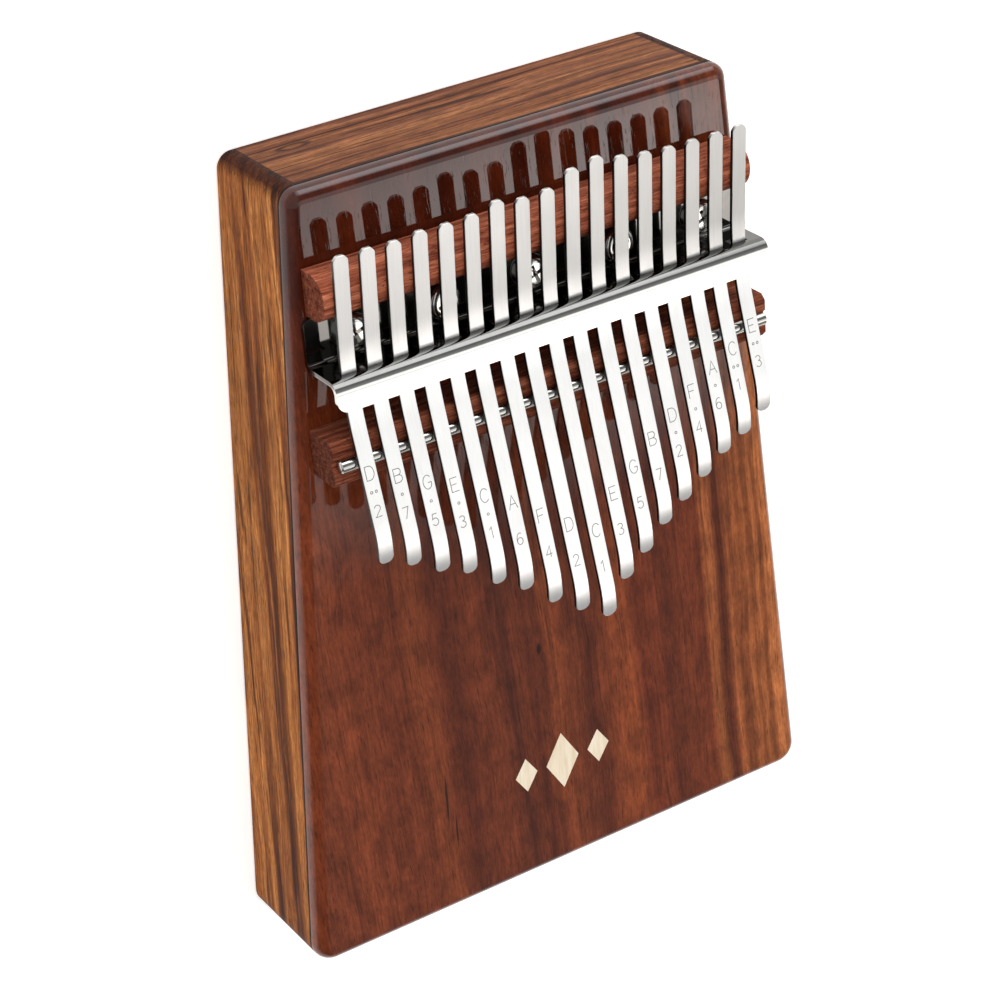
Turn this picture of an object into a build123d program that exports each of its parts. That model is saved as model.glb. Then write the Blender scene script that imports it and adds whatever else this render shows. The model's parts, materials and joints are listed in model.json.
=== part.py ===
from build123d import *

import math
import os

# ---------------------------------------------------------------------------
# A seventeen-key box thumb piano (mbira), lying on its back.
# Millimetres. +Z out of the soundboard, +Y towards the head, +X to the right.
# Origin: centre of the back face's bounding box.
# ---------------------------------------------------------------------------

# The box
BODY_LENGTH = 185.0
HEAD_WIDTH = 109.0
FOOT_WIDTH = 137.0
BODY_DEPTH = 30.2
SOUNDBOARD_THICKNESS = 3.2
BACK_THICKNESS = 3.0
WALL = 4.0
REBATE = 1.6
HEAD_CORNER_RADIUS = 3.6
FOOT_CORNER_RADIUS = 5.0
FRONT_ROUNDING = 3.0
BACK_EDGE_BREAK = 0.5
SOUND_HOLE_RADIUS = 11.0
SOUND_HOLE_Y = -25.0

# The braces inside the box
SCREW_BLOCK_WIDTH = 16.0
SCREW_BLOCK_DEPTH = 9.0
BRIDGE_BRACE_WIDTH = 10.0
BRIDGE_BRACE_DEPTH = 8.0
BRACE_END_GAP = 0.2

# The tines
TINE_COUNT = 17
TINE_PITCH = 6.16
TINE_WIDTH = 3.6
TINE_THICKNESS = 0.9
TONGUE_SLOPE = 15.0
TAIL_SLOPE = 4.0
PRESS_START = 6.0
PRESS_BEND_RADIUS = 60.0
TIP_BEND_RADIUS = 20.0
TIP_BEND_ANGLE = 24.0
TIP_ROUNDING = 1.55
TAIL_CHAMFER = 1.0
SPLIT_GAP = 0.1
# Length of each tine from the saddle rod to its tip, as tuned, left to right
TONGUE_LENGTHS = [22.5, 25, 28.5, 31, 35.5, 39, 44, 48, 51.5, 45, 41, 36.5, 33, 29.5, 26, 23.5, 20]
# Length of each tine from the saddle rod to its tail end, left to right
TAIL_LENGTHS = [45.7, 45.6, 45.3, 45.7, 45.5, 45.7, 47, 45.9, 46.1, 48.9, 49.9, 48.4, 47.5, 47, 46.9, 46.8, 46.9]

# The saddle rod and its bridge
ROD_RADIUS = 1.5
ROD_LENGTH = 109.0
ROD_Y = 35.4
ROD_HEIGHT = 9.9
BRIDGE_LENGTH = 110.8
BRIDGE_WIDTH = 10.2
BRIDGE_HEIGHT = 9.3
BRIDGE_CHAMFER = 1.2
GROOVE_CLEARANCE = 0.02
TINE_CLEARANCE = 0.2

# The nut
NUT_LENGTH = 106.2
NUT_WIDTH = 10.2
NUT_Y = 70.9

# The pressure bracket and its screws
SHEET = 1.0
BRACKET_LENGTH = 109.0
BRACKET_HEIGHT = 12.4
BRACKET_WALL_Y = 54.4
BRACKET_BASE_END_Y = 65.4
BRACKET_LIP_END_Y = 48.3
BASE_BEND_RADIUS = 1.3
LIP_BEND_RADIUS = 2.1
BASE_CORNER_RADIUS = 2.0
LIP_CORNER_RADIUS = 2.8
SLOT_WIDTH = 4.3
SLOT_HEIGHT = 2.6
SLOT_CLEARANCE = 0.15
SCREW_COUNT = 5
SCREW_SPACING = 22.0
SCREW_Y = 60.2
SCREW_SHANK_RADIUS = 1.5
SCREW_SHANK_LENGTH = 12.0
SCREW_HEAD_RADIUS = 4.0
SCREW_HEAD_HEIGHT = 2.4
SCREW_HEAD_ROUNDING = 1.6
BRACKET_HOLE_RADIUS = 1.8
BOARD_HOLE_RADIUS = 1.65
BLOCK_HOLE_RADIUS = 1.52
SCREW_POINT_RADIUS = 0.2
RECESS_TURN = 20.0
RECESS_LENGTH = 4.4
RECESS_WIDTH = 0.9
RECESS_DEPTH = 1.3

# The inlay: three lozenges in a row
INLAY_Y = -64.4
INLAY_DEPTH = 1.2
INLAY_SPACING = 10.0
INLAY_LARGE = (9.0, 15.0)
INLAY_SMALL = (6.0, 9.0)

# Values that follow from the ones above
RIM_HEIGHT = BODY_DEPTH - SOUNDBOARD_THICKNESS
HALF_LENGTH = BODY_LENGTH / 2
SIDE_SLOPE = (FOOT_WIDTH - HEAD_WIDTH) / 2 / BODY_LENGTH
REACH = 2 * BODY_LENGTH
TONGUE_RISE = math.radians(TONGUE_SLOPE)
TAIL_RISE = math.radians(TAIL_SLOPE)


def half_width(y):
    """Half the box's outer width at a place along its length."""
    return HEAD_WIDTH / 2 + (HALF_LENGTH - y) * SIDE_SLOPE


def inner_half_width(y, wall):
    """Half the width between two walls of this thickness, measured square to the walls."""
    return half_width(y) - wall * math.hypot(1, SIDE_SLOPE)


def tapered_face(low, high, wall):
    """The plan of the box between two places along its length, inside walls this thick."""
    low_x = inner_half_width(low, wall)
    high_x = inner_half_width(high, wall)
    points = [(high_x, high), (-high_x, high), (-low_x, low), (low_x, low)]
    return make_face(Polyline(*points, close=True))


def plain_outline(inset):
    """The tapered outline of the box, moved in by an inset, with sharp corners."""
    return tapered_face(inset - HALF_LENGTH, HALF_LENGTH - inset, inset)


def box_outline():
    """The tapered outline of the box with its rounded corners."""
    face = plain_outline(0)
    face = fillet(face.vertices().sort_by(Axis.Y)[:2], FOOT_CORNER_RADIUS)
    return fillet(face.vertices().sort_by(Axis.Y)[-2:], HEAD_CORNER_RADIUS)


def lozenge(width, height):
    """A diamond outline, centred on the origin."""
    points = [(width / 2, 0), (0, height / 2), (-width / 2, 0), (0, -height / 2)]
    return make_face(Polyline(*points, close=True))


def inlay_faces():
    """The outlines of the three inlaid lozenges."""
    large = Pos(0, INLAY_Y) * lozenge(*INLAY_LARGE)
    left = Pos(-INLAY_SPACING, INLAY_Y) * lozenge(*INLAY_SMALL)
    right = Pos(INLAY_SPACING, INLAY_Y) * lozenge(*INLAY_SMALL)
    return [left, large, right]


def screw_places():
    """The left-to-right places of the bracket screws."""
    first = -(SCREW_COUNT - 1) / 2
    return [(first + i) * SCREW_SPACING for i in range(SCREW_COUNT)]


def tine_places():
    """The left-to-right places of the tines."""
    first = -(TINE_COUNT - 1) / 2
    return [(first + i) * TINE_PITCH for i in range(TINE_COUNT)]


# ---------------------------------------------------------------------------
# The box
# ---------------------------------------------------------------------------

def soundboard():
    """The front plate, rounded over at the front, with screw holes and inlay pockets."""
    plate = Pos(0, 0, RIM_HEIGHT) * extrude(box_outline(), SOUNDBOARD_THICKNESS)
    front_edges = plate.faces().sort_by(Axis.Z)[-1].edges()
    plate = fillet(front_edges, FRONT_ROUNDING)
    for x in screw_places():
        hole = Cylinder(BOARD_HOLE_RADIUS, 3 * SOUNDBOARD_THICKNESS)
        plate -= Pos(x, SCREW_Y, BODY_DEPTH) * hole
    for face in inlay_faces():
        plate -= Pos(0, 0, BODY_DEPTH - INLAY_DEPTH) * extrude(face, 2 * INLAY_DEPTH)
    return plate


def rim():
    """The four walls as one ring, with the rebate for the back board."""
    outer = extrude(box_outline(), RIM_HEIGHT)
    back_edges = outer.faces().sort_by(Axis.Z)[0].edges()
    outer = chamfer(back_edges, BACK_EDGE_BREAK)
    inner = extrude(plain_outline(WALL), RIM_HEIGHT)
    rebate = extrude(plain_outline(WALL - REBATE), BACK_THICKNESS)
    return outer - inner - rebate


def side_zone(side):
    """The space that holds one side board: everything outside the line of its inner face."""
    head_x = inner_half_width(REACH, WALL)
    foot_x = inner_half_width(-REACH, WALL)
    points = [
        (side * head_x, REACH),
        (side * REACH, REACH),
        (side * REACH, -REACH),
        (side * foot_x, -REACH),
    ]
    return Pos(0, 0, -1) * extrude(make_face(Polyline(*points, close=True)), RIM_HEIGHT + 2)


def back_board():
    """The back plate with its sound hole, let into the rim."""
    plate = extrude(plain_outline(WALL - REBATE), BACK_THICKNESS)
    hole = Cylinder(SOUND_HOLE_RADIUS, 4 * BACK_THICKNESS)
    return plate - Pos(0, SOUND_HOLE_Y, 0) * hole


def brace(y, width, depth):
    """A bar across the inside of the box, glued under the soundboard."""
    plan = tapered_face(y - width / 2, y + width / 2, WALL + BRACE_END_GAP)
    return Pos(0, 0, RIM_HEIGHT - depth) * extrude(plan, depth)


def screw_block():
    """The inner bar that the bracket screws bite into."""
    bar = brace(SCREW_Y, SCREW_BLOCK_WIDTH, SCREW_BLOCK_DEPTH)
    for x in screw_places():
        hole = Cylinder(BLOCK_HOLE_RADIUS, SCREW_SHANK_LENGTH, align=(Align.CENTER, Align.CENTER, Align.MAX))
        bar -= Pos(x, SCREW_Y, BODY_DEPTH + SHEET) * hole
    return bar


def inlay():
    """The lozenges, flush with the soundboard."""
    pieces = []
    for face in inlay_faces():
        pieces.append(Pos(0, 0, BODY_DEPTH - INLAY_DEPTH) * extrude(face, INLAY_DEPTH))
    return Compound(children=pieces)


# ---------------------------------------------------------------------------
# The path of a tine, seen from the side: (distance towards the head, height).
# The strip lies on the saddle rod, runs straight down from it, bends where the
# bracket presses it and rises to its tail.
# ---------------------------------------------------------------------------

ROD_TO_MIDDLE = ROD_RADIUS + TINE_CLEARANCE + TINE_THICKNESS / 2
PIVOT_Y = ROD_Y + ROD_TO_MIDDLE * math.sin(TONGUE_RISE)
PIVOT_Z = BODY_DEPTH + ROD_HEIGHT + ROD_TO_MIDDLE * math.cos(TONGUE_RISE)
BEND_ANGLE = TONGUE_SLOPE + TAIL_SLOPE
BEND_LENGTH = PRESS_BEND_RADIUS * math.radians(BEND_ANGLE)
BEND_START_Y = PIVOT_Y + PRESS_START * math.cos(TONGUE_RISE)
BEND_START_Z = PIVOT_Z - PRESS_START * math.sin(TONGUE_RISE)
BEND_CENTRE_Y = BEND_START_Y + PRESS_BEND_RADIUS * math.sin(TONGUE_RISE)
BEND_CENTRE_Z = BEND_START_Z + PRESS_BEND_RADIUS * math.cos(TONGUE_RISE)
TAIL_START_Y = BEND_CENTRE_Y + PRESS_BEND_RADIUS * math.sin(TAIL_RISE)
TAIL_START_Z = BEND_CENTRE_Z - PRESS_BEND_RADIUS * math.cos(TAIL_RISE)
TIP_LENGTH = TIP_BEND_RADIUS * math.radians(TIP_BEND_ANGLE)


def bend_height(y):
    """Height of the strip's middle over the bracket's wall."""
    return BEND_CENTRE_Z - math.sqrt(PRESS_BEND_RADIUS ** 2 - (y - BEND_CENTRE_Y) ** 2)


def tail_height(y):
    """Height of the strip's middle on its straight tail."""
    return TAIL_START_Z + (y - TAIL_START_Y) * math.tan(TAIL_RISE)


NUT_HEIGHT = tail_height(NUT_Y) - TINE_THICKNESS / 2 - TINE_CLEARANCE - BODY_DEPTH
SLOT_TOP = bend_height(BRACKET_WALL_Y) + TINE_THICKNESS / 2 + SLOT_CLEARANCE + SHEET / 2 * math.tan(TAIL_RISE)


def strip_along(path):
    """A flat steel strip that follows a path drawn from the side."""
    section_plane = Plane(origin=path @ 0, x_dir=(0, 0, 1), z_dir=path % 0)
    section = section_plane * Rectangle(TINE_WIDTH, TINE_THICKNESS)
    return Plane.YZ * sweep(section, path=path)


def end_corners(end_face):
    """The two short edges at the corners of a strip's end."""
    return end_face.edges().filter_by(lambda edge: abs(edge.length - TINE_THICKNESS) < TINE_THICKNESS / 10)


def tine_tail(length):
    """The held part of a tine, from the saddle rod to its chamfered tail end."""
    dip = Line((PIVOT_Y, PIVOT_Z), (BEND_START_Y, BEND_START_Z))
    bend = JernArc(
        start=dip @ 1,
        tangent=(math.cos(TONGUE_RISE), -math.sin(TONGUE_RISE)),
        radius=PRESS_BEND_RADIUS,
        arc_size=BEND_ANGLE,
    )
    straight = length - PRESS_START - BEND_LENGTH
    end = (bend @ 1) + (bend % 1) * straight
    strip = strip_along(Wire([dip.edge(), bend.edge(), Line(bend @ 1, end).edge()]))
    return chamfer(end_corners(strip.faces().sort_by(Axis.Y)[-1]), TAIL_CHAMFER)


def tine_tongue(length):
    """The free part of a tine, from the saddle rod to its rounded, drooping tip."""
    along = Vector(-math.cos(TONGUE_RISE), math.sin(TONGUE_RISE))
    start = Vector(PIVOT_Y, PIVOT_Z) + along * SPLIT_GAP
    bend_start = Vector(PIVOT_Y, PIVOT_Z) + along * (length - TIP_LENGTH)
    tip = JernArc(start=bend_start, tangent=along, radius=TIP_BEND_RADIUS, arc_size=TIP_BEND_ANGLE)
    strip = strip_along(Wire([Line(start, bend_start).edge(), tip.edge()]))
    return fillet(end_corners(strip.faces().sort_by(Axis.Y)[0]), TIP_ROUNDING)


# ---------------------------------------------------------------------------
# What holds the tines
# ---------------------------------------------------------------------------

def nut():
    """The half-round bar under the tails."""
    radius = NUT_WIDTH / 2
    shoulder = NUT_HEIGHT - radius
    low = (NUT_Y - radius, BODY_DEPTH)
    low_shoulder = (NUT_Y - radius, BODY_DEPTH + shoulder)
    crown = (NUT_Y, BODY_DEPTH + NUT_HEIGHT)
    high_shoulder = (NUT_Y + radius, BODY_DEPTH + shoulder)
    high = (NUT_Y + radius, BODY_DEPTH)
    outline = [
        Line(low, low_shoulder),
        ThreePointArc(low_shoulder, crown, high_shoulder),
        Line(high_shoulder, high),
        Line(high, low),
    ]
    section = make_face(outline)
    return Plane.YZ * extrude(section, NUT_LENGTH / 2, both=True)


def bridge_block():
    """The bar under the saddle rod, chamfered and grooved."""
    block = Box(BRIDGE_LENGTH, BRIDGE_WIDTH, BRIDGE_HEIGHT, align=(Align.CENTER, Align.CENTER, Align.MIN))
    block = Pos(0, ROD_Y, BODY_DEPTH) * block
    long_edges = block.faces().sort_by(Axis.Z)[-1].edges().filter_by(Axis.X)
    block = chamfer(long_edges, BRIDGE_CHAMFER)
    groove = Cylinder(ROD_RADIUS + GROOVE_CLEARANCE, 2 * BRIDGE_LENGTH, rotation=(0, 90, 0))
    return block - Pos(0, ROD_Y, BODY_DEPTH + ROD_HEIGHT) * groove


def saddle_rod():
    """The polished rod that the tines speak from."""
    rod = Cylinder(ROD_RADIUS, ROD_LENGTH)
    rod = chamfer(rod.edges().filter_by(GeomType.CIRCLE), ROD_RADIUS / 5)
    return Pos(0, ROD_Y, BODY_DEPTH + ROD_HEIGHT) * Rot(0, 90, 0) * rod


def pressure_bracket():
    """The bent sheet: a screwed base, an upright slotted wall and a lip over the tines."""
    base_level = BODY_DEPTH + SHEET / 2
    lip_level = BODY_DEPTH + BRACKET_HEIGHT - SHEET / 2
    base = Line((BRACKET_BASE_END_Y, base_level), (BRACKET_WALL_Y + BASE_BEND_RADIUS, base_level))
    base_bend = JernArc(start=base @ 1, tangent=(-1, 0), radius=BASE_BEND_RADIUS, arc_size=-90)
    wall = Line(base_bend @ 1, (BRACKET_WALL_Y, lip_level - LIP_BEND_RADIUS))
    lip_bend = JernArc(start=wall @ 1, tangent=(0, 1), radius=LIP_BEND_RADIUS, arc_size=90)
    lip = Line(lip_bend @ 1, (BRACKET_LIP_END_Y, lip_level))
    path = Wire([base.edge(), base_bend.edge(), wall.edge(), lip_bend.edge(), lip.edge()])
    section_plane = Plane(origin=path @ 0, x_dir=(0, 0, 1), z_dir=path % 0)
    sheet = Plane.YZ * sweep(section_plane * Rectangle(BRACKET_LENGTH, SHEET), path=path)
    upright = sheet.edges().filter_by(Axis.Z).filter_by(lambda edge: edge.length < SHEET * 1.1)
    sheet = fillet(upright.sort_by(Axis.Y)[:2], LIP_CORNER_RADIUS)
    upright = sheet.edges().filter_by(Axis.Z).filter_by(lambda edge: edge.length < SHEET * 1.1)
    sheet = fillet(upright.sort_by(Axis.Y)[-2:], BASE_CORNER_RADIUS)
    slot = Box(SLOT_WIDTH, 3 * SHEET, SLOT_HEIGHT, align=(Align.CENTER, Align.CENTER, Align.MAX))
    for x in tine_places():
        sheet -= Pos(x, BRACKET_WALL_Y, SLOT_TOP) * slot
    for x in screw_places():
        sheet -= Pos(x, SCREW_Y, BODY_DEPTH) * Cylinder(BRACKET_HOLE_RADIUS, 4 * SHEET)
    return sheet


def bracket_screw():
    """A pan-head screw with a cross recess, standing on the origin."""
    head = Cylinder(SCREW_HEAD_RADIUS, SCREW_HEAD_HEIGHT, align=(Align.CENTER, Align.CENTER, Align.MIN))
    head = fillet(head.edges().sort_by(Axis.Z)[-1], SCREW_HEAD_ROUNDING)
    shank_length = SCREW_SHANK_LENGTH - SCREW_SHANK_RADIUS
    shank = Cylinder(SCREW_SHANK_RADIUS, shank_length, align=(Align.CENTER, Align.CENTER, Align.MAX))
    point = Cone(
        SCREW_POINT_RADIUS,
        SCREW_SHANK_RADIUS,
        SCREW_SHANK_RADIUS,
        align=(Align.CENTER, Align.CENTER, Align.MAX),
    )
    screw = head + shank + Pos(0, 0, -shank_length) * point
    for turn in (0, 90):
        recess = Box(RECESS_LENGTH, RECESS_WIDTH, 2 * RECESS_DEPTH)
        screw -= Pos(0, 0, SCREW_HEAD_HEIGHT) * Rot(0, 0, turn + RECESS_TURN) * recess
    return screw


def bracket_screws():
    """All the bracket screws, heads on the bracket's base."""
    screws = [Pos(x, SCREW_Y, BODY_DEPTH + SHEET) * bracket_screw() for x in screw_places()]
    return Compound(children=screws)


# ---------------------------------------------------------------------------
# Write each piece
# ---------------------------------------------------------------------------

def main():
    os.makedirs("parts", exist_ok=True)
    ring = rim()
    left_zone = side_zone(-1)
    right_zone = side_zone(1)
    ends = ring - left_zone - right_zone
    end_boards = ends.solids().sort_by(Axis.Y)
    pieces = {
        "soundboard": soundboard(),
        "back_board": back_board(),
        "left_side": ring & left_zone,
        "right_side": ring & right_zone,
        "bottom_end": end_boards[0],
        "top_end": end_boards[-1],
        "screw_block": screw_block(),
        "bridge_brace": brace(ROD_Y, BRIDGE_BRACE_WIDTH, BRIDGE_BRACE_DEPTH),
        "nut": nut(),
        "bridge_block": bridge_block(),
        "saddle_rod": saddle_rod(),
        "pressure_bracket": pressure_bracket(),
        "bracket_screws": bracket_screws(),
        "inlay_lozenges": inlay(),
    }
    for i, x in enumerate(tine_places()):
        name = f"tine_{i + 1:02d}"
        pieces[f"{name}_tail"] = Pos(x, 0, 0) * tine_tail(TAIL_LENGTHS[i])
        pieces[f"{name}_tongue"] = Pos(x, 0, 0) * tine_tongue(TONGUE_LENGTHS[i])
    for node, shape in pieces.items():
        export_step(shape, f"parts/{node}.step")
    print("pivot y, z:", round(PIVOT_Y, 3), round(PIVOT_Z, 3), "nut height:", round(NUT_HEIGHT, 2))
    print("slot top over board:", round(SLOT_TOP - BODY_DEPTH, 2))


main()
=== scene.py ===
import json
import math

import bpy
from mathutils import Matrix, Vector

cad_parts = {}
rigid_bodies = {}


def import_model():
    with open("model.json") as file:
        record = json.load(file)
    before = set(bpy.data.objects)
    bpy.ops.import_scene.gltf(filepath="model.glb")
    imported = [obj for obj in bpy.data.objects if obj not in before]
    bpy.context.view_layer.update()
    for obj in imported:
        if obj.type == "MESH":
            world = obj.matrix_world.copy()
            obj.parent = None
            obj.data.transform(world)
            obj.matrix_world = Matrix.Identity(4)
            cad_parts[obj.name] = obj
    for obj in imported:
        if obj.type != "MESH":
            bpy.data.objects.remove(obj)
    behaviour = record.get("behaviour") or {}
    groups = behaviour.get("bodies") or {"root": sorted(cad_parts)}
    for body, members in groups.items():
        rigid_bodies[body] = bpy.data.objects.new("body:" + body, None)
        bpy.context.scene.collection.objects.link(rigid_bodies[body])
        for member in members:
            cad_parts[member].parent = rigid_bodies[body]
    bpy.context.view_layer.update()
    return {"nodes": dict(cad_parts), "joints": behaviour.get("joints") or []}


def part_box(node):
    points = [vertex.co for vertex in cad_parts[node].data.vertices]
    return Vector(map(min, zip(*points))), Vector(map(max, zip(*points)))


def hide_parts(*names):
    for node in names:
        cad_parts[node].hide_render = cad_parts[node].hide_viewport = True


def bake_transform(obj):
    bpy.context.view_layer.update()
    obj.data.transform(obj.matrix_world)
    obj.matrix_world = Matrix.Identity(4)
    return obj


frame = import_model()

# ---------------------------------------------------------------------------
# A seventeen-key box thumb piano on a pale table. Metres, in the row frame:
# +Z out of the soundboard, +Y towards the head, +X to the right.
# ---------------------------------------------------------------------------

MM = 0.001

# ---------------------------------------------------------------------------
# Colours and shader helpers
# ---------------------------------------------------------------------------


def srgb(red, green, blue):
    """A linear colour from display values of 0 to 255."""
    out = []
    for value in (red, green, blue):
        c = value / 255
        out.append(c / 12.92 if c <= 0.04045 else ((c + 0.055) / 1.055) ** 2.4)
    return (*out, 1.0)


class Shader:
    """A material's or a world's node tree, with short ways to add and join nodes."""

    def __init__(self, owner):
        owner.use_nodes = True
        self.tree = owner.node_tree
        self.tree.nodes.clear()

    def add(self, kind, **settings):
        node = self.tree.nodes.new(kind)
        for key, value in settings.items():
            setattr(node, key, value)
        return node

    def set(self, socket, value):
        """Joins a socket to another socket, or gives it a constant."""
        if isinstance(value, bpy.types.NodeSocket):
            self.tree.links.new(value, socket)
        else:
            socket.default_value = value

    def math(self, operation, a, b=None, c=None):
        node = self.add("ShaderNodeMath", operation=operation)
        for socket, value in zip(node.inputs, (a, b, c)):
            if value is not None:
                self.set(socket, value)
        return node.outputs[0]

    def point(self):
        """The place on the object in the row frame, in metres, as x, y and z."""
        coords = self.add("ShaderNodeTexCoord")
        split = self.add("ShaderNodeSeparateXYZ")
        self.set(split.inputs[0], coords.outputs["Object"])
        return split.outputs[0], split.outputs[1], split.outputs[2]

    def facing(self, axis, low, high):
        """How squarely the surface faces along an axis, either way: 0 up to low, 1 from high."""
        geometry = self.add("ShaderNodeNewGeometry")
        split = self.add("ShaderNodeSeparateXYZ")
        self.set(split.inputs[0], geometry.outputs["Normal"])
        part = self.math("ABSOLUTE", split.outputs["XYZ".index(axis)])
        return self.spread(part, low, high, 0.0, 1.0)

    def vector(self, x, y, z):
        node = self.add("ShaderNodeCombineXYZ")
        for socket, value in zip(node.inputs, (x, y, z)):
            self.set(socket, value)
        return node.outputs[0]

    def stretched(self, place, scales, shift=(0.0, 0.0, 0.0)):
        """A place scaled differently along each axis, for grain that runs one way."""
        node = self.add("ShaderNodeMapping")
        self.set(node.inputs["Vector"], place)
        self.set(node.inputs["Scale"], scales)
        self.set(node.inputs["Location"], shift)
        return node.outputs[0]

    def noise(self, place, detail=2.0, roughness=0.5, distortion=0.0, low=None, high=None):
        """Noise at a place. With low and high, that part of its range is stretched to 0..1."""
        node = self.add("ShaderNodeTexNoise", noise_dimensions="3D")
        self.set(node.inputs["Vector"], place)
        self.set(node.inputs["Scale"], 1.0)
        self.set(node.inputs["Detail"], detail)
        self.set(node.inputs["Roughness"], roughness)
        self.set(node.inputs["Distortion"], distortion)
        if low is None:
            return node.outputs["Fac"]
        return self.spread(node.outputs["Fac"], low, high, 0.0, 1.0)

    def spread(self, value, low, high, to_low, to_high):
        """Maps low..high to to_low..to_high and holds it there."""
        node = self.add("ShaderNodeMapRange", clamp=True)
        for socket, number in zip(node.inputs, (value, low, high, to_low, to_high)):
            self.set(socket, number)
        return node.outputs[0]

    def ramp(self, value, stops):
        """A colour from a list of (position, colour) stops, for a value of 0 to 1."""
        node = self.add("ShaderNodeValToRGB")
        elements = node.color_ramp.elements
        while len(elements) > 1:
            elements.remove(elements[-1])
        elements[0].position = stops[0][0]
        elements[0].color = stops[0][1]
        for position, colour in stops[1:]:
            elements.new(position).color = colour
        self.set(node.inputs[0], value)
        return node.outputs[0]

    def blend(self, kind, factor, a, b):
        """Colour a mixed with or multiplied by colour b, by a factor of 0 to 1."""
        node = self.add("ShaderNodeMix", data_type="RGBA", blend_type=kind)
        self.set(node.inputs[0], factor)
        self.set(node.inputs[6], a)
        self.set(node.inputs[7], b)
        return node.outputs[2]

    def bump(self, height, distance, strength):
        """A normal that makes a height of 0 to 1 look this distance high, in metres."""
        node = self.add("ShaderNodeBump")
        self.set(node.inputs["Height"], height)
        self.set(node.inputs["Distance"], distance)
        self.set(node.inputs["Strength"], strength)
        return node.outputs["Normal"]

    def surface(self, **values):
        """The finished surface. Names use _ for the spaces in a socket's name."""
        node = self.add("ShaderNodeBsdfPrincipled")
        for key, value in values.items():
            self.set(node.inputs[key.replace("_", " ")], value)
        output = self.add("ShaderNodeOutputMaterial")
        self.set(output.inputs["Surface"], node.outputs[0])


def material(name):
    made = bpy.data.materials.new(name)
    return made, Shader(made)


# ---------------------------------------------------------------------------
# Wood. The grain is solid: it runs along one axis and shows its end on the cut.
# ---------------------------------------------------------------------------

# Each layer of the grain: features per metre across and along it, then the noise's detail,
# roughness and distortion, then the part of the noise's range that is stretched to 0..1
GRAIN_LAYERS = {
    "bands": (120.0, 5.0, 2.0, 0.5, 0.2, 0.36, 0.64),
    "streaks": (480.0, 7.0, 2.0, 0.55, 0.1, 0.34, 0.66),
    "lines": (1300.0, 16.0, 2.0, 0.6, 0.05, 0.34, 0.66),
    "veins": (430.0, 6.5, 2.0, 0.5, 0.15, 0.615, 0.665),
    "mottle": (240.0, 130.0, 3.0, 0.6, 0.3, 0.34, 0.66),
    "speckle": (1700.0, 560.0, 2.0, 0.6, 0.0, 0.32, 0.68),
    "fibres": (2800.0, 110.0, 2.0, 0.6, 0.0, 0.32, 0.68),
    "vessels": (2000.0, 120.0, 1.0, 0.5, 0.0, 0.62, 0.69),
    "pores": (2900.0, 260.0, 1.0, 0.5, 0.0, 0.65, 0.72),
}


def grain_layers(s, u, along, v, seed):
    """The layers of grain that runs along one axis, each 0 to 1."""
    place = s.vector(u, along, v)
    shift = (seed, seed * 1.7, seed * 0.6)
    layers = {}
    for name, (across, lengthwise, *kind) in GRAIN_LAYERS.items():
        scaled = s.stretched(place, (across, lengthwise, across), shift)
        layers[name] = s.noise(scaled, *kind)
    return layers


def fleck(s, a, b, centre, half_size, softness=0.5):
    """A small soft-edged oval mark: 1 in the middle and 0 outside."""
    parts = []
    for place, middle, half in zip((a, b), centre, half_size):
        offset = s.math("DIVIDE", s.math("SUBTRACT", place, middle), half)
        parts.append(s.math("MULTIPLY", offset, offset))
    return s.spread(s.math("ADD", *parts), 1.0 - softness, 1.0, 1.0, 0.0)


def shaded(s, tone, share, level, dark, light):
    """A tone multiplied by a colour that goes from dark to light as the level goes from 0 to 1.
    share is how much of the multiplying is kept."""
    ramp = s.ramp(level, [(0.0, (*dark, 1.0)), (1.0, (*light, 1.0))])
    return s.blend("MULTIPLY", share, tone, ramp)


# The soundboard's grain leans this much off the middle line, and wanders this far
SOUNDBOARD_LEAN = 0.06
SOUNDBOARD_WANDER = 6.4 * MM
SOUNDBOARD_HALF_SPAN = 70 * MM
# Where the streakier wood at the right starts, and where painted shade darkens the board towards the
# head, under the tines and the bracket
SAPWOOD_FROM = 36 * MM
SAPWOOD_FADE = 5 * MM
HEAD_SHADE_FROM = 20 * MM
HEAD_SHADE_TO = 76 * MM
# Tones of the plank across the soundboard: place from the middle in millimetres, colour
SOUNDBOARD_TONES = [
    (-66, (104, 46, 24)),
    (-54, (112, 50, 26)),
    (-44, (102, 44, 23)),
    (-36, (120, 56, 29)),
    (-32, (100, 43, 23)),
    (-28, (92, 39, 22)),
    (-21, (112, 50, 27)),
    (-15, (82, 35, 21)),
    (-12, (104, 46, 25)),
    (-9, (92, 39, 22)),
    (-3, (120, 56, 29)),
    (6, (90, 38, 21)),
    (13, (122, 56, 28)),
    (18, (124, 57, 28)),
    (21, (98, 40, 21)),
    (24, (116, 50, 26)),
    (28, (86, 35, 18)),
    (34, (112, 49, 25)),
    (39, (112, 49, 25)),
    (42, (150, 82, 44)),
    (45, (92, 38, 20)),
    (48, (142, 75, 40)),
    (54, (150, 82, 43)),
    (60, (156, 88, 48)),
]
# Small dark flecks in the soundboard: middle and half size across and along, in metres
SOUNDBOARD_FLECKS = [
    ((-0.0034, -0.0325), (0.0007, 0.0018)),
    ((-0.0306, -0.0620), (0.0004, 0.0078)),
    ((-0.0286, -0.0715), (0.0003, 0.0050)),
]
FLECK_WANDER = 2 * MM


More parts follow.
